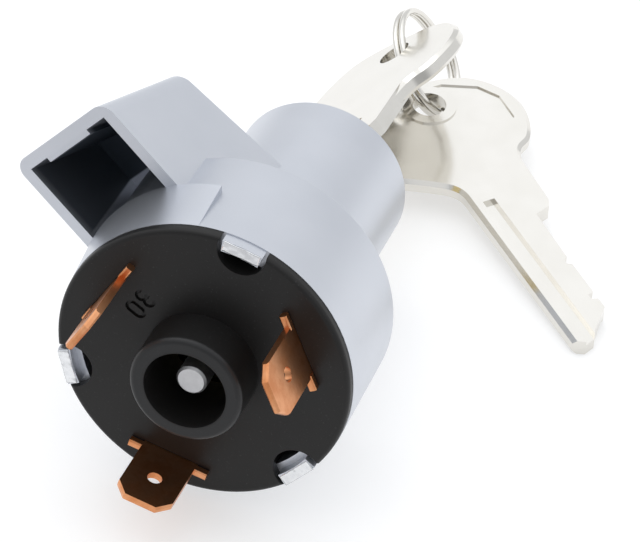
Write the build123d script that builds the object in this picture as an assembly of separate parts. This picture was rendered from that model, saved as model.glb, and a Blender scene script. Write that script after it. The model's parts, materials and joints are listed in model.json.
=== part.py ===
from build123d import *
import os
from math import cos, radians, sin

# An automotive key switch lying on a flat surface, with one key in its lock and a spare
# key on the same split ring. Lengths are in millimetres and angles in degrees.
# Every switch piece is drawn in the lock's own frame and then laid down: z runs along the
# lock's axis from the terminals to the key, with 0 at the joint between the housing and
# the terminal plate, x points to the connector box's side and y points up.

# How the switch lies: on the rim of its drum, with the key end slightly down.
nose_down = 6.88
seat_height = 17.955

# housing
drum_radius = 16.5
drum_front_radius = 16.35
drum_length = 14.5
drum_bore_radius = 14.3
drum_bore_depth = 12.0
web_bore_radius = 5.0
neck_radius = 10.1
neck_root_radius = 10.2
neck_root_end = 22.6
neck_end = 38.5
neck_bore_radius = 8.0
pad_radius = 17.2
pad_angles = (22, 86)
lug_angles = (105, 225, -15)
lug_half_angle = 8
lug_height = 1.35

# connector box on the housing, in its own turned frame: x is the height over the lock's
# axis and y is the sideways place
box_angle = 44.65
box_sides = (-7.32, 7.06)
box_wall = 1.31
box_top_wall = 1.44
box_back_wall = 2.0
box_mouth = 7.2
box_mouth_height = 27.56
box_back = 21.3
box_back_height = 22.9
box_foot_back = 24.4
box_rib_sides = (-3.4, 3.0)
box_rib_depth = 0.6

# terminal plate
plate_radius = 16.45
plate_thickness = 1.2
plug_radius = 14.25
plug_depth = 2.5
boss_radius = 6.3
boss_end = -6.4
boss_bore_radius = 4.6
pocket_radius = 2.7
pocket_centre = 15.6

# terminals
terminal_angles = {"terminal_30": 33, "terminal_15": 156.5, "terminal_50": 284.6}
terminal_radii = {"terminal_30": 12.4, "terminal_15": 11.8, "terminal_50": 13.2}
blade_width = 6.3
blade_thickness = 0.8
blade_tip = -10.6
blade_tip_half_width = 1.88
blade_taper = 1.6
blade_hole_place = -6.15
blade_hole_radius = 0.83
foot_inner = 9.1
foot_width = 5.0
hook_reach = 1.45
hook_height = 0.95
contact_radius = 1.5
contact_centre = 10.7
contact_height = 0.8

# rotating parts of the switch
shaft_radius = 1.7
shaft_end = -4.45
head_radius = 4.95
head_span = (10.0, 15.2)
drive_slot_width = 3.1
tongue_thickness = 3.0
tongue_width = 7.0
bridge_span = (4.3, 5.1)
bridge_hub_radius = 6.0
bridge_arm_width = 4.4
bridge_turn = 60
rotor_radius = 13.8
rotor_span = (5.7, 9.0)
ball_radius = 1.2
ball_centre = 12.9
ball_angles = (60, 240)
detent_turns = (0, -60)
washer_thickness = 0.4

# lock
plug_body_radius = 6.25
plug_span = (15.6, 37.6)
flange_radius = 7.2
flange_end = 39.1
sleeve_radius = 7.98
sleeve_bore_radius = 6.3
sleeve_span = (17.0, 37.5)
face_ring_span = (37.6, 38.7)
face_ring_radii = (7.4, 9.0)
circlip_span = (16.2, 16.9)
wafer_count = 5
wafer_first = 26.0
wafer_pitch = 2.4
wafer_thickness = 1.0
wafer_half_height = 2.6
keyway_roll = 142
keyway_end = 24.3

# keys, in the key's own frame: x runs from the hole to the tip, y to the side with the
# stop, and z is the thickness
key_thickness = 2.0
key_hole_radius = 2.05
blade_edge = 2.5
blade_back = -3.5
key_in_lock_hole = 67.7
spare_hole = (4.45, 65.47, 4.48)
spare_heading = -45.2
spare_pitch = 4.6
bevel = 0.45

# split ring
ring_centre = (2.1, 71.9, 6.47)
ring_normal = (0.864, 0.130, 0.486)
ring_radius = 6.64
ring_wire = 0.8
ring_pitch = 0.85

lock_axis = Vector(0, cos(radians(nose_down)), -sin(radians(nose_down)))
lock_place = Plane(origin=(0, 0, seat_height), x_dir=(-1, 0, 0), z_dir=lock_axis).location


def disc(radius, start, end):
    """A solid round piece between two places on the axis."""
    return Pos(0, 0, start) * Cylinder(radius, end - start, align=(Align.CENTER, Align.CENTER, Align.MIN))


def tube(outer, inner, start, end):
    """A round piece with a bore."""
    return disc(outer, start, end) - disc(inner, start - 1, end + 1)


def block(x_span, y_span, z_span):
    """A box between three pairs of limits."""
    lows, highs = zip(x_span, y_span, z_span)
    size = [high - low for low, high in zip(lows, highs)]
    return Pos(*lows) * Box(*size, align=(Align.MIN, Align.MIN, Align.MIN))


def sector(outer, inner, start, end, middle, half_angle):
    """A piece of a tube that covers an angle each side of its middle."""
    far = outer * 2
    edge = radians(half_angle)
    wedge = Polygon((0, 0), (far * cos(edge), far * sin(-edge)), (far, 0), (far * cos(edge), far * sin(edge)),
                    align=None)
    wedge_solid = Pos(0, 0, start) * extrude(wedge, end - start)
    return Rot(0, 0, middle) * (tube(outer, inner, start, end) & wedge_solid)


def coil(radius, wire, pitch, turns):
    """A wire wound about z, from z = 0 up."""
    path = Helix(pitch, pitch * turns, radius)
    section = Plane(path @ 0, z_dir=path % 0) * Circle(wire / 2)
    return sweep(section, path=path)


def box_outline(top_wall, back_wall, bottom):
    """The connector box seen from the side, inside a wall of the given thickness."""
    slope = (box_mouth_height - box_back_height) / (box_back - box_mouth)
    back = box_back - back_wall
    top_at_mouth = box_mouth_height - top_wall
    top_at_back = top_at_mouth - slope * (back - box_mouth)
    foot_back = back + (box_foot_back - box_back) if back_wall == 0 else back
    return Plane.XZ * Polygon((bottom, box_mouth), (top_at_mouth, box_mouth), (top_at_back, back),
                              (bottom, foot_back), align=None)


def connector_box():
    """The rectangular connector box, open towards the terminals."""
    low, high = box_sides
    shell = Pos(0, high, 0) * extrude(box_outline(0, 0, 5.5), high - low, dir=(0, -1, 0))
    shell = fillet([edge for edge in shell.edges() if edge.center().X > 24 and box_mouth + 1 < edge.center().Z], 1.6)
    inside = Pos(0, high - box_wall, 0) * extrude(box_outline(box_top_wall, box_back_wall, 10.0),
                                                  high - low - 2 * box_wall, dir=(0, -1, 0))
    slope = (box_mouth_height - box_back_height) / (box_back - box_mouth)
    rib_top = box_mouth_height - box_top_wall
    depth = box_back - box_mouth
    rib_outline = Plane.XZ * Polygon((rib_top + 0.3, box_mouth), (rib_top - box_rib_depth, box_mouth),
                                     (rib_top - box_rib_depth - slope * depth, box_back),
                                     (rib_top + 0.3 - slope * depth, box_back), align=None)
    rib = Pos(0, box_rib_sides[1], 0) * extrude(rib_outline, box_rib_sides[1] - box_rib_sides[0], dir=(0, -1, 0))
    cavity = inside - rib - disc(drum_radius, 0, box_foot_back)
    below_drum = disc(drum_radius - 0.5, -1, drum_length - 0.5)
    return Rot(0, 0, box_angle) * shell, Rot(0, 0, box_angle) * cavity, below_drum


def housing():
    """Zinc casting: drum, connector box, neck and the lugs that hold the plate."""
    drum = Cone(drum_radius, drum_front_radius, drum_length, align=(Align.CENTER, Align.CENTER, Align.MIN))
    drum = fillet(drum.edges().sort_by(Axis.Z)[-1], 0.3)
    neck = disc(neck_root_radius, drum_length - 1, neck_root_end) + disc(neck_radius, neck_root_end, neck_end)
    neck = chamfer(neck.edges().sort_by(Axis.Z)[-1], 0.25)
    shell, cavity, below_drum = connector_box()
    pad_middle = sum(pad_angles) / 2
    pad = sector(pad_radius, drum_radius - 0.8, 0, box_mouth, pad_middle, pad_angles[1] - pad_middle)
    pad &= Cone(drum_radius, pad_radius, box_mouth, align=(Align.CENTER, Align.CENTER, Align.MIN))
    body = drum + neck + (shell - below_drum) - cavity + pad
    body -= disc(drum_bore_radius, -1, drum_bore_depth)
    body -= disc(web_bore_radius, drum_bore_depth - 1, drum_length + 1)
    body -= disc(neck_bore_radius, drum_length, neck_end + 1)
    body -= disc(face_ring_radii[1], face_ring_span[0], neck_end + 1)
    for ball_angle in ball_angles:
        for turn in detent_turns:
            body -= Rot(0, 0, ball_angle + turn) * Pos(drum_bore_radius - 0.6, 0, 0) * disc(ball_radius, 5.5, 9.5)
    body -= pin_hole()
    for lug_angle in lug_angles:
        body += sector(plate_radius - 0.1, plug_radius + 0.75, -lug_height, 0.5, lug_angle, lug_half_angle)
    return body


def pin_hole():
    """The radial hole for the pin that holds the sleeve, on the underside."""
    return Pos(0, -8.5, 20) * Rot(90, 0, 0) * Cylinder(1.0, 6)


def sleeve_pin():
    """The pin pressed through the neck's wall into the sleeve."""
    return Pos(0, -8.3, 20) * Rot(90, 0, 0) * Cylinder(1.0, 3.4)


def digit_zero():
    """A narrow 0, drawn upright about its own middle."""
    height = 2.5
    width = 1.5
    stroke = 0.38
    outer = RectangleRounded(width, height, width / 2 - 0.01)
    return outer - RectangleRounded(width - 2 * stroke, height - 2 * stroke, width / 2 - stroke - 0.01)


def digit_three():
    """A 3 made of two open bows."""
    stroke = 0.38
    bow_radius = 0.72
    bow = Circle(bow_radius) - Circle(bow_radius - stroke)
    opening = Pos(-bow_radius, 0) * Rectangle(bow_radius * 1.3, bow_radius * 0.8)
    offset = bow_radius - stroke / 2
    return (Pos(0, offset) * bow) + (Pos(0, -offset) * bow) - (Pos(0, offset) * opening) - (Pos(0, -offset) * opening)


def plate_mark():
    """The digits 30 cut into the plate beside their terminal, with their tops to the boss."""
    angle = terminal_angles["terminal_30"]
    outward = Vector(cos(radians(angle)), sin(radians(angle)), 0)
    reading = Vector(sin(radians(angle)), -cos(radians(angle)), 0)
    middle = outward * 9.1 - reading * 1.2 + Vector(0, 0, -plate_thickness - 0.01)
    face = Plane(origin=middle, x_dir=reading, z_dir=(0, 0, -1))
    digits = (Pos(-0.95, 0) * digit_three()) + (Pos(0.95, 0) * digit_zero())
    return extrude(face * digits, -0.3)


def terminal_plate():
    """Black plate that closes the drum, with the central boss."""
    flange = disc(plate_radius, -plate_thickness, 0)
    flange = fillet(flange.edges().sort_by(Axis.Z)[0], 0.55)
    boss = disc(boss_radius, boss_end, -plate_thickness)
    boss = fillet(boss.edges().sort_by(Axis.Z)[0], 0.6)
    plate = flange + disc(plug_radius, 0, plug_depth) + boss - disc(boss_bore_radius, boss_end - 1, plug_depth + 1)
    for angle in lug_angles:
        plate -= Rot(0, 0, angle) * Pos(pocket_centre, 0, 0) * disc(pocket_radius, -plate_thickness - 1, plug_depth + 1)
    for name, angle in terminal_angles.items():
        half = blade_thickness / 2 + 0.05
        slot = block((terminal_radii[name] - half, terminal_radii[name] + half),
                     (-blade_width / 2 - 0.1, blade_width / 2 + 0.1), (-plate_thickness - 1, plug_depth + 1))
        plate -= Rot(0, 0, angle) * slot
    return plate - plate_mark()


def blade_outline():
    """A push-on blade with a tapered tip, drawn with its length along x."""
    half = blade_width / 2
    end = -blade_tip
    foot_end = -plug_depth - blade_thickness
    outline = Polygon((foot_end, -half), (end - blade_taper, -half), (end, -blade_tip_half_width),
                      (end, blade_tip_half_width), (end - blade_taper, half), (foot_end, half), align=None)
    return outline - Pos(-blade_hole_place, 0) * Circle(blade_hole_radius)


def terminal(angle, radius):
    """One copper terminal: blade, two bent hooks on the plate and the inner foot."""
    outer = radius + blade_thickness / 2
    face = Plane(origin=(outer, 0, 0), x_dir=(0, 0, -1), z_dir=(1, 0, 0))
    blade = extrude(face * blade_outline(), -blade_thickness)
    blade = chamfer([edge for edge in blade.edges() if edge.center().Z < blade_tip + blade_taper + 0.1
                     and abs(edge.center().X - radius) > 0.3 and edge.geom_type == GeomType.LINE], 0.2)
    foot = block((foot_inner, outer), (-foot_width / 2, foot_width / 2), (plug_depth, plug_depth + blade_thickness))
    piece = blade + foot
    for side in (-1, 1):
        near = side * (blade_width / 2 - 0.3)
        far = side * (blade_width / 2 + hook_reach)
        hook = block((radius - 0.4, radius + 0.5), sorted((near, far)),
                     (-plate_thickness - hook_height, -plate_thickness))
        piece += fillet(hook.edges().filter_by(Axis.Y), 0.25)
    return Rot(0, 0, angle) * piece


def fixed_contacts():
    """A button on each terminal's foot."""
    start = plug_depth + blade_thickness
    button = Pos(contact_centre, 0, 0) * disc(contact_radius, start, start + contact_height)
    button = chamfer(button.edges().sort_by(Axis.Z)[-1], 0.2)
    return Compound([Rot(0, 0, angle) * button for angle in terminal_angles.values()])


def arm_angles():
    """The bridge's three arms, which stand between the contacts when the switch is off."""
    return [angle + bridge_turn for angle in terminal_angles.values()]


def contact_bridge():
    """Brass star that joins the contacts when it is turned onto them."""
    start, end = bridge_span
    star = disc(bridge_hub_radius, start, end)
    for angle in arm_angles():
        arm = block((0, contact_centre), (-bridge_arm_width / 2, bridge_arm_width / 2), (start, end))
        tip = Pos(contact_centre, 0, 0) * disc(bridge_arm_width / 2, start, end)
        star += Rot(0, 0, angle) * (arm + tip)
    return star - disc(2.3, start - 1, end + 1)


def contact_springs():
    """One coil spring behind each arm of the bridge."""
    spring = Pos(contact_centre - 1.2, 0, bridge_span[1] + 0.25) * coil(0.95, 0.3, 0.75, 3)
    return Compound([Rot(0, 0, angle) * spring for angle in arm_angles()])


def rotor():
    """Moulded carrier of the bridge, springs and detent balls."""
    start, end = rotor_span
    body = disc(rotor_radius, start, end)
    body -= block((-2.25, 2.25), (-2.25, 2.25), (start - 1, end + 1))
    for angle in arm_angles():
        body -= Rot(0, 0, angle) * Pos(contact_centre - 1.2, 0, 0) * disc(1.4, start - 1, end - 0.9)
    for angle in ball_angles:
        pocket = Pos(9.6, 0, (start + end) / 2) * Rot(0, 90, 0) * Cylinder(
            ball_radius + 0.1, 5, align=(Align.CENTER, Align.CENTER, Align.MIN))
        body -= Rot(0, 0, angle) * pocket
    return body


def detent_balls():
    """Steel balls that drop into the grooves in the drum's wall."""
    middle = sum(rotor_span) / 2
    return Compound([Rot(0, 0, angle) * Pos(ball_centre, 0, middle) * Sphere(ball_radius) for angle in ball_angles])


def detent_springs():
    """Springs behind the balls."""
    middle = sum(rotor_span) / 2
    spring = Pos(9.85, 0, middle) * Rot(0, 90, 0) * coil(0.8, 0.25, 0.5, 3)
    return Compound([Rot(0, 0, angle) * spring for angle in ball_angles])


def drive_spindle():
    """Spindle from the lock's tongue through the rotor, with its end in the boss."""
    start, end = head_span
    spindle = disc(shaft_radius, shaft_end, start) + disc(head_radius, start, end)
    spindle += block((-2.2, 2.2), (-2.2, 2.2), (rotor_span[0] + 0.1, start))
    slot = block((-head_radius, head_radius), (-drive_slot_width / 2, drive_slot_width / 2), (12.2, end + 1))
    return chamfer(spindle.edges().sort_by(Axis.Z)[0], 0.25) - Rot(0, 0, keyway_roll) * slot


def spindle_clip():
    """Dark washer clip on the spindle, seen through the boss."""
    return tube(3.2, shaft_radius, 3.5, 4.1)


def thrust_washer():
    """Flat washer between the spring and the housing's web."""
    return tube(13.5, 5.4, drum_bore_depth - washer_thickness, drum_bore_depth)


def return_spring():
    """Torsion spring that turns the switch back from start."""
    wire = 0.7
    return Pos(0, 0, rotor_span[1] + 0.6) * coil(7.0, wire, 0.8, 1.9)


def lock_sleeve():
    """Brass sleeve fixed in the neck."""
    start, end = sleeve_span
    return tube(sleeve_radius, sleeve_bore_radius, start, end) - pin_hole()


def face_ring():
    """Trim ring round the plug at the neck's end."""
    start, end = face_ring_span
    ring = tube(face_ring_radii[1], face_ring_radii[0], start, end)
    return fillet(ring.edges().group_by(Axis.Z)[-1], 0.3)


def wafer_starts():
    """Where each wafer's slot begins along the axis."""
    return [wafer_first + index * wafer_pitch for index in range(wafer_count)]


def lock_plug():
    """The plug that the key turns, with its keyway, wafer slots and tongue."""
    start, end = plug_span
    plug = disc(plug_body_radius, start, end) + disc(flange_radius, end, flange_end)
    plug = fillet(plug.edges().sort_by(Axis.Z)[-1], 0.35)
    plug -= tube(plug_body_radius + 1, 5.2, circlip_span[0] - 0.02, circlip_span[1] + 0.02)
    plug += block((-tongue_width / 2, tongue_width / 2), (-tongue_thickness / 2, tongue_thickness / 2), (12.4, start))
    plug -= block((blade_back - 0.1, blade_edge + 0.15), (-1.1, 1.1), (keyway_end, flange_end + 1))
    for first in wafer_starts():
        span = (first - 0.05, first + wafer_thickness + 0.05)
        plug -= block((-7, 7), (-wafer_half_height - 0.05, wafer_half_height + 0.05), span)
        plug -= block((-1.3, 3.0), (wafer_half_height, wafer_half_height + 1.15), span)
    return Rot(0, 0, keyway_roll) * plug


def wafers():
    """Brass tumblers, each with a window for the key and an ear for its spring."""
    outline = Rectangle(14, 2 * wafer_half_height) & Circle(plug_body_radius - 0.05)
    outline += Pos(2.4, wafer_half_height + 0.4) * Rectangle(1.0, 1.2)
    window = Pos((blade_back + blade_edge) / 2, 0) * Rectangle(blade_edge - blade_back + 0.4, 2.4)
    wafer = extrude(outline - window, wafer_thickness)
    return Rot(0, 0, keyway_roll) * Compound([Pos(0, 0, first) * wafer for first in wafer_starts()])


def wafer_springs():
    """A small coil spring beside each wafer."""
    spring = Pos(-1.15, wafer_half_height + 0.57, wafer_thickness / 2) * Rot(0, 90, 0) * coil(0.3, 0.14, 0.5, 5.4)
    return Rot(0, 0, keyway_roll) * Compound([Pos(0, 0, first) * spring for first in wafer_starts()])


def plug_circlip():
    """Open clip in the plug's groove, behind the sleeve."""
    start, end = circlip_span
    return tube(7.4, 5.2, start, end) - block((0, 10), (-1.5, 1.5), (start - 1, end + 1))


def key_outline():
    """The key seen from above: round bow, neck with the stop, and the cut blade."""
    right = Spline((-4.2, 0), (-2.1, 7.6), (1.9, 10.2), (6.6, 10.1), (10.2, 8.1), (14.5, 5.5),
                   tangents=((0, 1), (1, -0.15)))
    left = Spline((9.2, -10.4), (4.0, -10.6), (-0.6, -9.0), (-4.2, 0), tangents=((-1, 0), (0, 1)))
    left_neck = Spline((16.4, blade_back), (13.3, -5.3), (10.6, -9.4), (9.2, -10.4), tangents=((-1, 0), (-1, 0)))
    cut_depths = ((30.0, 2.0), (36.2, 1.7))
    points = [(14.5, 5.5), (20.5, 5.25), (21.6, 4.7), (22.2, 2.7)]
    for place, depth in cut_depths:
        points += [(place, blade_edge), (place + 0.3, depth), (place + 1.0, depth), (place + 1.3, blade_edge)]
    points += [(39, blade_edge), (41.8, -0.3), (42.6, -0.8), (43.1, -2.2), (42.3, blade_back), (16.4, blade_back)]
    return make_face([right, Polyline(*points), left_neck, left])


def key(panel_side):
    """A flat key. panel_side is 1 or -1, the face with the sunk panel in its bow."""
    half = key_thickness / 2
    outline = key_outline()
    body = extrude(outline, half, both=True)
    bow_edges = [edge for edge in body.edges() if abs(edge.center().Z) > half - 0.01 and edge.center().X < 14]
    body = chamfer(bow_edges, bevel)
    body -= Cylinder(key_hole_radius, key_thickness + 2)
    panel = make_face(Polyline((8.2, -8.4), (8.0, -4.3), (7.9, 6.45), (6.0, 8.4), (2.0, 8.5), (-0.6, 6.9),
                               (-2.7, 3.0), (-2.7, -3.0), (-0.6, -6.9), (2.6, -8.9), close=True))
    panel -= Circle(3.3)
    sunk = Pos(0, 0, panel_side * half) * extrude(panel, 0.22, both=True)
    body -= sunk
    for face in (-1, 1):
        place = -1.35 * face * panel_side
        groove = block((17.84, 45), (place - 0.77, place + 0.77), sorted((face * (half - 0.55), face * (half + 1))))
        body -= groove
    return body


def key_in_lock():
    """The key in the lock, with its blade in the keyway."""
    width = Vector(cos(radians(keyway_roll)), sin(radians(keyway_roll)), 0)
    along = Vector(0, 0, -1)
    place = Plane(origin=(0, 0, key_in_lock_hole), x_dir=along, z_dir=along.cross(width)).location
    return place * key(-1)


def spare_key():
    """The spare key, lying on its tip with its bow held up by the ring."""
    heading = radians(spare_heading)
    pitch = radians(spare_pitch)
    along = Vector(cos(heading) * cos(pitch), sin(heading) * cos(pitch), -sin(pitch))
    side = Vector(-sin(heading), cos(heading), 0)
    return Plane(origin=spare_hole, x_dir=along, z_dir=along.cross(side)).location * key(1)


def split_ring():
    """Two turns of wire, side by side, with their ends on the side away from the keys."""
    turns = 1.95
    wound = Pos(0, 0, -ring_pitch * turns / 2) * coil(ring_radius, ring_wire, ring_pitch, turns)
    normal = Vector(*ring_normal).normalized()
    ends_side = lock_axis - normal * lock_axis.dot(normal)
    return Plane(origin=ring_centre, x_dir=ends_side, z_dir=normal).location * wound


switch_pieces = {
    "housing": housing, "terminal_plate": terminal_plate, "fixed_contacts": fixed_contacts,
    "contact_bridge": contact_bridge, "contact_springs": contact_springs, "rotor": rotor,
    "detent_balls": detent_balls, "detent_springs": detent_springs, "drive_spindle": drive_spindle,
    "spindle_clip": spindle_clip, "thrust_washer": thrust_washer, "return_spring": return_spring,
    "lock_sleeve": lock_sleeve, "sleeve_pin": sleeve_pin, "face_ring": face_ring,
    "lock_plug": lock_plug, "plug_circlip": plug_circlip, "wafers": wafers,
    "wafer_springs": wafer_springs, "key_in_lock": key_in_lock,
}

parts = {name: lock_place * make() for name, make in switch_pieces.items()}
for name, angle in terminal_angles.items():
    parts[name] = lock_place * terminal(angle, terminal_radii[name])
parts["split_ring"] = split_ring()
parts["spare_key"] = spare_key()

# The row's origin is under the middle of the whole assembly, on the surface it lies on.
whole = Compound(list(parts.values())).bounding_box()
to_origin = Pos(-whole.center().X, -whole.center().Y, -whole.min.Z)

os.makedirs("parts", exist_ok=True)
for name, part in parts.items():
    export_step(to_origin * part, f"parts/{name}.step")
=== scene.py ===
import json
from math import cos, pi, radians, sin

import bpy
from mathutils import Matrix, Vector


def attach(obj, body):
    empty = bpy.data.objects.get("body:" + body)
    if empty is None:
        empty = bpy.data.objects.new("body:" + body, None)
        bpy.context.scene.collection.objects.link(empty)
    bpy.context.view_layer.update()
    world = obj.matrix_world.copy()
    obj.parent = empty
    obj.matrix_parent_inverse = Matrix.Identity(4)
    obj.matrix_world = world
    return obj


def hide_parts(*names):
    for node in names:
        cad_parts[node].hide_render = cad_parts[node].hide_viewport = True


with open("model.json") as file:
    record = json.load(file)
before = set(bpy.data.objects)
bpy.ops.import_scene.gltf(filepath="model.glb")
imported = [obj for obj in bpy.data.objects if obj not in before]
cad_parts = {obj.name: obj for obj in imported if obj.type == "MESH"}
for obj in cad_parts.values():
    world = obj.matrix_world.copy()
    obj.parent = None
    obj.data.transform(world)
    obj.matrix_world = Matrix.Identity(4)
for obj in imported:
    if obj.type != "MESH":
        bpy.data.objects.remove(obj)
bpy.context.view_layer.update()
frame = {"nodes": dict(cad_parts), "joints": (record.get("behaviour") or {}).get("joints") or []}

# A key switch lying on a pale table, with one key in its lock and a spare on the split ring.
# Everything is in metres in the row's frame. MM turns a size in millimetres into metres.
MM = 0.001
joints = {joint["name"]: joint for joint in frame["joints"]}
nodes = frame["nodes"]

# The lock's own frame: z along its axis from the terminals to the key, 0 at the joint
# between the housing and the terminal plate, x towards the connector box, y up.
LOCK_JOINT_PLACE = 30 * MM
key_side = -Vector(joints["lock_turn"]["axis"]).normalized()
seam = Vector(joints["lock_turn"]["pos_m"]) - key_side * LOCK_JOINT_PLACE
box_side = Vector((-1, 0, 0))
upward = key_side.cross(box_side)
LOCK = Matrix.Translation(seam) @ Matrix((box_side, upward, key_side)).transposed().to_4x4()


# ---------------------------------------------------------------- node trees as expressions
class Value:
    """A socket's value in a node tree. Arithmetic on it adds Math nodes."""

    def __init__(self, owner, socket):
        self.owner = owner
        self.socket = socket

    def maths(self, operation, first, second=0.0):
        return self.owner.node("ShaderNodeMath", {"operation": operation}, {0: first, 1: second})

    def __add__(self, other):
        return self.maths("ADD", self, other)

    def __sub__(self, other):
        return self.maths("SUBTRACT", self, other)

    def __mul__(self, other):
        return self.maths("MULTIPLY", self, other)

    def __truediv__(self, other):
        return self.maths("DIVIDE", self, other)

    def __rsub__(self, other):
        return self.maths("SUBTRACT", other, self)

    __radd__ = __add__

    def size(self):
        return self.maths("ABSOLUTE", self)

    def root(self):
        return self.maths("SQRT", self)

    def step(self, low, high):
        """0 at low and 1 at high, smooth between them. low may be the larger one."""
        return self.owner.node("ShaderNodeMapRange", {"interpolation_type": "SMOOTHSTEP"},
                               {"Value": self, "From Min": low, "From Max": high})


class Nodes:
    """A node tree that is written as expressions, of a place or a direction in a shader."""

    def __init__(self, tree, coordinates=None):
        self.tree = tree
        if coordinates:
            self.place = self.node("ShaderNodeTexCoord", output=coordinates)

    def node(self, kind, settings=None, inputs=None, output=0):
        """Adds a node: its settings first, then the values or links of its sockets."""
        made = self.tree.nodes.new(kind)
        for key, value in (settings or {}).items():
            setattr(made, key, value)
        for key, value in (inputs or {}).items():
            if isinstance(value, Value):
                self.tree.links.new(value.socket, made.inputs[key])
            else:
                made.inputs[key].default_value = value
        return Value(self, made.outputs[output])

    def noise(self, scale, detail=3.0, roughness=0.5, stretch=None, turn=(0, 0, 0)):
        """Noise from 0 to 1, with about scale features in a metre. A small stretch draws it out that way."""
        where = self.place
        if stretch:
            where = self.node("ShaderNodeMapping", None,
                              {"Vector": self.place, "Scale": stretch, "Rotation": turn})
        return self.node("ShaderNodeTexNoise", None,
                         {"Vector": where, "Scale": scale, "Detail": detail, "Roughness": roughness})

    def along(self, direction, origin):
        """How far a point is from origin along a direction, in metres."""
        direction = Vector(direction)
        dot = self.node("ShaderNodeVectorMath", {"operation": "DOT_PRODUCT"},
                        {0: self.place, 1: tuple(direction)}, output="Value")
        return dot - direction.dot(Vector(origin))

    def mix(self, factor, first, second):
        """A colour between two colours."""
        return self.node("ShaderNodeMix", {"data_type": "RGBA"}, {0: factor, 6: first, 7: second}, output=2)


class Finish(Nodes):
    """A material with a Principled shader."""

    def __init__(self, name):
        self.material = bpy.data.materials.new(name)
        self.material.use_nodes = True
        super().__init__(self.material.node_tree, "Object")
        self.shader = self.tree.nodes["Principled BSDF"]

    def constants(self, **values):
        """Numbers and colours that are the same all over, on the shader's own sockets."""
        for name, value in values.items():
            self.shader.inputs[name.replace("_", " ")].default_value = value

    def varying(self, **values):
        for name, value in values.items():
            self.tree.links.new(value.socket, self.shader.inputs[name.replace("_", " ")])

    def bump(self, height, distance, strength=1.0, under=None):
        inputs = {"Height": height, "Distance": distance, "Strength": strength}
        if under:
            inputs["Normal"] = under
        return self.node("ShaderNodeBump", None, inputs)


class Shape(Nodes):
    """A geometry tree whose sizes are its named inputs. Lengths are in metres."""

    def __init__(self, name, sizes):
        super().__init__(bpy.data.node_groups.new(name, "GeometryNodeTree"))
        self.name = name
        self.sizes = sizes
        self.tree.interface.new_socket("Geometry", in_out="OUTPUT", socket_type="NodeSocketGeometry")
        for label, value in sizes.items():
            kind = "NodeSocketInt" if isinstance(value, int) else "NodeSocketFloat"
            self.tree.interface.new_socket(label, in_out="INPUT", socket_type=kind)
        self.entry = self.tree.nodes.new("NodeGroupInput")

    def given(self, label):
        return Value(self, self.entry.outputs[label])

    def vector(self, x=0.0, y=0.0, z=0.0):
        return self.node("ShaderNodeCombineXYZ", None, {0: x, 1: y, 2: z})

    def make(self, geometry, material, place):
        """Ends the tree and returns its result as a plain mesh object, moved to its place."""
        smooth = self.node("GeometryNodeSetShadeSmooth", None, {"Geometry": geometry})
        single = self.node("GeometryNodeRealizeInstances", None, {"Geometry": smooth})
        painted = self.node("GeometryNodeSetMaterial", None, {"Geometry": single, "Material": material})
        end = self.tree.nodes.new("NodeGroupOutput")
        self.tree.links.new(painted.socket, end.inputs["Geometry"])
        piece = bpy.data.objects.new(self.name, bpy.data.meshes.new(self.name + "_start"))
        bpy.context.scene.collection.objects.link(piece)
        modifier = piece.modifiers.new("shape", "NODES")
        modifier.node_group = self.tree
        for socket in self.tree.interface.items_tree:
            if socket.in_out == "INPUT":
                modifier[socket.identifier] = self.sizes[socket.name]
        evaluated = piece.evaluated_get(bpy.context.evaluated_depsgraph_get())
        mesh = bpy.data.meshes.new_from_object(evaluated)
        piece.modifiers.remove(modifier)
        piece.data = mesh
        mesh.transform(place)
        return piece


def shade(red, green, blue):
    return (red, green, blue, 1.0)


def lock_places(finish):
    """The places along the lock's axis, to the box's side and up, for masks."""
    return (finish.along(key_side, seam), finish.along(box_side, seam), finish.along(upward, seam))


# ---------------------------------------------------------------- finishes
# Painted shade inside the connector box, in the lock's frame turned by BOX_ANGLE. Each pair says where
# the painted shade starts and where it is full: to the sides of the box's middle, over the floor,
# under the ceiling, which falls towards the key, and along the axis at the mouth and at the back.
BOX_ANGLE = radians(44.65)
BOX_MIDDLE = -0.13 * MM
BOX_SIDES = (5.98 * MM, 5.85 * MM)
BOX_FLOOR = (16.4 * MM, 16.7 * MM)
BOX_CEILING = (28.7 * MM, 28.3 * MM)
CEILING_FALL = 0.33
BOX_MOUTH = (7.0 * MM, 8.5 * MM)
BOX_BACK = (19.7 * MM, 19.5 * MM)


def cast_zinc():
    """Die-cast zinc: satin, cool grey, with a fine grain. Painted shade darkens it inside the connector box.
    """
    zinc = Finish("cast_zinc")
    zinc.constants(Metallic=0.9, IOR=1.5)
    grain = zinc.noise(5200, 2)
    cloud = zinc.noise(95, 4)
    drawn = zinc.noise(700, 3, stretch=(1.0, 0.06, 1.0))
    depth, across, up = lock_places(zinc)
    height = across * cos(BOX_ANGLE) + up * sin(BOX_ANGLE)
    sideways = (up * cos(BOX_ANGLE) - across * sin(BOX_ANGLE) - BOX_MIDDLE).size()
    within = (sideways.step(*BOX_SIDES) * height.step(*BOX_FLOOR)
              * (height + depth * CEILING_FALL).step(*BOX_CEILING))
    # Painted shade: the colour goes nearly black inside the connector box, and the surface is rougher there.
    painted_box_shade = within * depth.step(*BOX_MOUTH) * depth.step(*BOX_BACK)
    plain = zinc.mix(cloud, shade(0.56, 0.585, 0.635), shade(0.66, 0.68, 0.725))
    colour = zinc.mix(painted_box_shade * 0.93, plain, shade(0.035, 0.05, 0.07))
    zinc.varying(Base_Color=colour, Roughness=0.30 + cloud * 0.10 + grain * 0.06 + painted_box_shade * 0.15)
    fine = zinc.bump(grain, 0.012 * MM, 0.35)
    zinc.varying(Normal=zinc.bump(drawn, 0.02 * MM, 0.10, fine))
    return zinc.material


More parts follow.
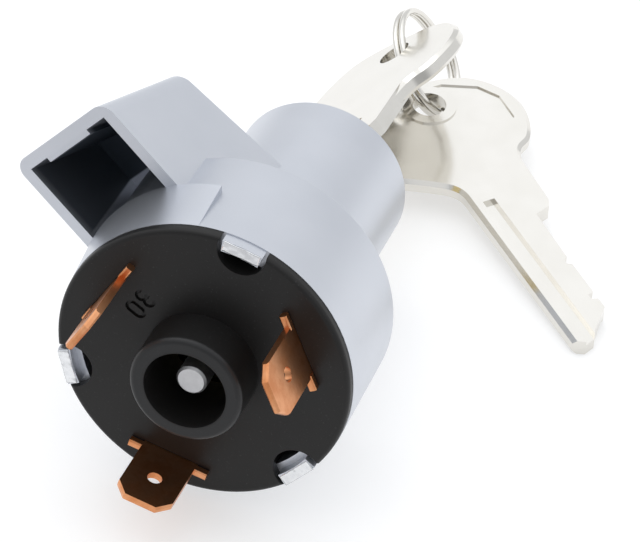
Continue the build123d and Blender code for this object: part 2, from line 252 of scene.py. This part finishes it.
def black_phenolic():
    """Black moulded plate: nearly even, with faint specks, a painted highlight on the boss's rim and a
    smoother, worn rim.
    """
    black = Finish("black_phenolic")
    black.constants(Metallic=0.0, IOR=1.36)
    specks = black.noise(4200, 2)
    flow = black.noise(160, 4)
    depth, across, up = lock_places(black)
    radius = (across * across + up * up).root()
    # The boss's rim: a painted highlight lightens its colour, and wear makes it smoother.
    rim_wear_and_highlight = depth.step(-5.6 * MM, -6.1 * MM) * radius.step(4.4 * MM, 5.0 * MM)
    colour = black.mix(specks.step(0.62, 0.8), shade(0.0105, 0.0100, 0.0098), shade(0.03, 0.03, 0.03))
    black.varying(Base_Color=black.mix(rim_wear_and_highlight * 0.5, colour, shade(0.028, 0.029, 0.031)))
    black.varying(Roughness=0.36 + flow * 0.14 - rim_wear_and_highlight * 0.08)
    black.varying(Normal=black.bump(specks + flow * 3.0, 0.012 * MM, 0.4))
    return black.material


def copper():
    """Rolled copper sheet with a slightly tarnished, drawn surface."""
    sheet = Finish("copper")
    sheet.constants(Metallic=1.0)
    tarnish = sheet.noise(420, 5, 0.6)
    drawn = sheet.noise(2400, 3, stretch=(1.0, 0.08, 1.0))
    bright = shade(0.76, 0.36, 0.18)
    deep = shade(0.62, 0.24, 0.095)
    sheet.varying(Base_Color=sheet.mix(tarnish.step(0.35, 0.7), bright, deep))
    sheet.varying(Roughness=0.24 + tarnish * 0.16)
    sheet.varying(Normal=sheet.bump(drawn, 0.01 * MM, 0.35))
    return sheet.material


def nickel():
    """Polished nickel plate on the keys and the ring, with hair-fine scratches."""
    plate = Finish("nickel")
    plate.constants(Metallic=1.0)
    wave = plate.noise(70, 2)
    hairs = plate.noise(3600, 3, stretch=(1.0, 0.05, 1.0), turn=(0, 0, 0.7))
    cloud = plate.noise(240, 4)
    plate.varying(Base_Color=plate.mix(cloud, shade(0.71, 0.69, 0.64), shade(0.80, 0.78, 0.74)))
    plate.varying(Roughness=0.10 + cloud * 0.09)
    fine = plate.bump(hairs, 0.004 * MM, 0.25)
    plate.varying(Normal=plate.bump(wave, 0.12 * MM, 0.25, fine))
    return plate.material


def metal(name, low, high, rough, scale=900):
    """A plain metal whose colour drifts between two shades, with fine turning marks."""
    made = Finish(name)
    made.constants(Metallic=1.0)
    drift = made.noise(scale, 4)
    made.varying(Base_Color=made.mix(drift, low, high))
    made.varying(Roughness=rough + drift * 0.12)
    made.varying(Normal=made.bump(drift, 0.01 * MM, 0.4))
    return made.material


def brown_phenolic():
    """Brown moulded carrier with pale paper-like flecks."""
    made = Finish("brown_phenolic")
    flecks = made.noise(1500, 5, 0.65)
    resin = shade(0.10, 0.045, 0.02)
    fleck = shade(0.19, 0.09, 0.045)
    made.varying(Base_Color=made.mix(flecks.step(0.4, 0.7), resin, fleck))
    made.varying(Roughness=0.45 + flecks * 0.2)
    made.varying(Normal=made.bump(flecks, 0.02 * MM, 0.3))
    return made.material


ZINC = cast_zinc()
NICKEL = nickel()
COPPER = copper()
CRUSHED_ZINC = metal("crushed_zinc", shade(0.66, 0.67, 0.69), shade(0.86, 0.87, 0.88), 0.16, 1400)
BRASS = metal("brass", shade(0.70, 0.56, 0.27), shade(0.78, 0.65, 0.33), 0.22)
STEEL = metal("steel", shade(0.50, 0.50, 0.51), shade(0.64, 0.64, 0.65), 0.2)
DARK_STEEL = metal("dark_steel", shade(0.02, 0.02, 0.024), shade(0.045, 0.045, 0.05), 0.4)
SPINDLE = metal("spindle_zinc", shade(0.50, 0.50, 0.51), shade(0.68, 0.68, 0.69), 0.42, 1500)
finishes = {
    "housing": ZINC, "terminal_plate": black_phenolic(), "terminal_30": COPPER,
    "terminal_15": COPPER, "terminal_50": COPPER, "fixed_contacts": COPPER,
    "contact_bridge": BRASS, "contact_springs": STEEL, "rotor": brown_phenolic(),
    "detent_balls": STEEL, "detent_springs": STEEL, "drive_spindle": SPINDLE,
    "spindle_clip": DARK_STEEL, "thrust_washer": STEEL, "return_spring": STEEL, "lock_sleeve": BRASS,
    "sleeve_pin": STEEL, "face_ring": NICKEL, "lock_plug": BRASS, "plug_circlip": DARK_STEEL,
    "wafers": BRASS, "wafer_springs": BRASS, "key_in_lock": NICKEL, "split_ring": NICKEL,
    "spare_key": NICKEL,
}
for name, node in nodes.items():
    node.data.materials.clear()
    node.data.materials.append(finishes[name])


# ---------------------------------------------------------------- pieces that repeat or follow a path
def split_ring():
    """Two turns of round wire, side by side, with their ends on the side away from the keys."""
    joint = joints["ring_turn"]
    centre = Vector(joint["pos_m"])
    normal = Vector(joint["axis"]).normalized()
    ends_side = (key_side - normal * key_side.dot(normal)).normalized()
    ring = Shape("ring_wire", {"Radius": 6.64 * MM, "Wire Radius": 0.40 * MM,
                               "Pitch": 0.85 * MM, "Turns": 1.95})
    height = ring.given("Pitch") * ring.given("Turns")
    radius = ring.given("Radius")
    path = ring.node("GeometryNodeCurveSpiral", None,
                     {"Resolution": 90, "Rotations": ring.given("Turns"), "Start Radius": radius,
                      "End Radius": radius, "Height": height, "Reverse": True})
    section = ring.node("GeometryNodeCurvePrimitiveCircle", None,
                        {"Resolution": 18, "Radius": ring.given("Wire Radius")})
    wire = ring.node("GeometryNodeCurveToMesh", None,
                     {"Curve": path, "Profile Curve": section, "Fill Caps": True})
    centred = ring.node("GeometryNodeTransform", None,
                        {"Geometry": wire, "Translation": ring.vector(z=height * -0.5)})
    turned = Matrix((ends_side, normal.cross(ends_side), normal)).transposed().to_4x4()
    piece = ring.make(centred, NICKEL, Matrix.Translation(centre) @ turned)
    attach(piece, "ring")
    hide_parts("split_ring")


def staked_lugs():
    """The crushed metal on the three lugs that are hammered over the plate's pockets."""
    first_lug = radians(105)
    lug_end = -1.37 * MM
    noise_level = 0.42
    sizes = {"Count": 3, "Radius": 15.68 * MM, "Width": 1.2 * MM, "Length": 4.1 * MM,
             "Thickness": 0.16 * MM, "Depth": 0.34 * MM, "Seed": 4.0}
    lugs = Shape("staked_metal", sizes)
    patch_size = lugs.vector(lugs.given("Width"), lugs.given("Length"), lugs.given("Thickness"))
    patch = lugs.node("GeometryNodeMeshCube", None,
                      {"Size": patch_size, "Vertices X": 12, "Vertices Y": 36, "Vertices Z": 3})
    places = lugs.node("GeometryNodeMeshCircle", None,
                       {"Vertices": lugs.given("Count"), "Radius": lugs.given("Radius")})
    turn = lugs.node("GeometryNodeInputIndex") * (2 * pi) / lugs.given("Count")
    patches = lugs.node("GeometryNodeInstanceOnPoints", None,
                        {"Points": places, "Instance": patch, "Rotation": lugs.vector(z=turn)})
    single = lugs.node("GeometryNodeRealizeInstances", None, {"Geometry": patches})
    dents = lugs.node("ShaderNodeTexNoise", {"noise_dimensions": "4D"},
                      {"W": lugs.given("Seed"), "Scale": 950.0, "Detail": 1.5})
    rise = (noise_level - dents) * lugs.given("Depth")
    crushed = lugs.node("GeometryNodeSetPosition", None,
                        {"Geometry": single, "Offset": lugs.vector(z=rise)})
    lug_face = Matrix.Rotation(first_lug, 4, "Z") @ Matrix.Translation((0, 0, lug_end))
    piece = lugs.make(crushed, CRUSHED_ZINC, LOCK @ lug_face)
    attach(piece, "switch_body")


split_ring()
staked_lugs()


# ---------------------------------------------------------------- table, light and camera
def make_table():
    """A pale table. It darkens in front of the switch, so that the plate and the rims mirror less light."""
    half = 1.5
    corners = [(-half, -half, 0), (half, -half, 0), (half, half, 0), (-half, half, 0)]
    mesh = bpy.data.meshes.new("table")
    mesh.from_pydata(corners, [], [(0, 1, 2, 3)])
    table = bpy.data.objects.new("table", mesh)
    bpy.context.scene.collection.objects.link(table)
    surface = Finish("table_white")
    surface.constants(Roughness=0.7)
    in_front = surface.along((0, -1, 0), seam)
    surface.varying(Base_Color=surface.mix(in_front.step(18 * MM, 75 * MM), shade(0.58, 0.58, 0.58),
                                           shade(0.20, 0.20, 0.21)))
    surface.constants(Emission_Color=shade(1, 1, 1), Emission_Strength=0.46)
    mesh.materials.append(surface.material)


def make_light(name, place, size, power):
    """A square soft light that looks at the seam."""
    data = bpy.data.lights.new(name, "AREA")
    data.size = size
    data.energy = power
    light = bpy.data.objects.new(name, data)
    light.location = place
    aim = seam - Vector(place)
    light.rotation_euler = aim.to_track_quat("-Z", "Y").to_euler()
    bpy.context.scene.collection.objects.link(light)


def make_world():
    """A white studio: brighter overhead and behind, and dim low in front."""
    world = bpy.data.worlds.new("studio")
    world.use_nodes = True
    sky = Nodes(world.node_tree, "Generated")
    height = sky.along((0, 0, 1), (0, 0, 0))
    front = sky.along((0, -1, 0), (0, 0, 0))
    brightness = 0.86 + height.step(0.45, 0.70) * 0.40 - front.step(0.1, 0.8) * 0.35
    background = world.node_tree.nodes["Background"]
    background.inputs["Color"].default_value = (0.96, 0.975, 1.0, 1.0)
    world.node_tree.links.new(brightness.socket, background.inputs["Strength"])
    bpy.context.scene.world = world


def make_camera():
    """A long lens that looks down at the terminals, from a little to the right."""
    data = bpy.data.cameras.new("camera")
    camera = bpy.data.objects.new("camera", data)
    under_seam = Vector((seam.x, seam.y, 0))
    elevation = radians(40)
    azimuth = radians(18.755)
    camera.location = under_seam + Vector((107.11, -277.72, 279.59)) * MM
    forward = Vector((-sin(azimuth) * cos(elevation), cos(azimuth) * cos(elevation), -sin(elevation)))
    camera.rotation_euler = forward.to_track_quat("-Z", "Y").to_euler()
    data.lens = 210.35
    data.clip_start = 0.02
    bpy.context.scene.collection.objects.link(camera)
    bpy.context.scene.camera = camera


make_table()
make_world()
make_light("overhead", (-0.25, 0.15, 0.9), 0.7, 1.2)
make_camera()
bpy.context.scene.view_settings.view_transform = "Standard"
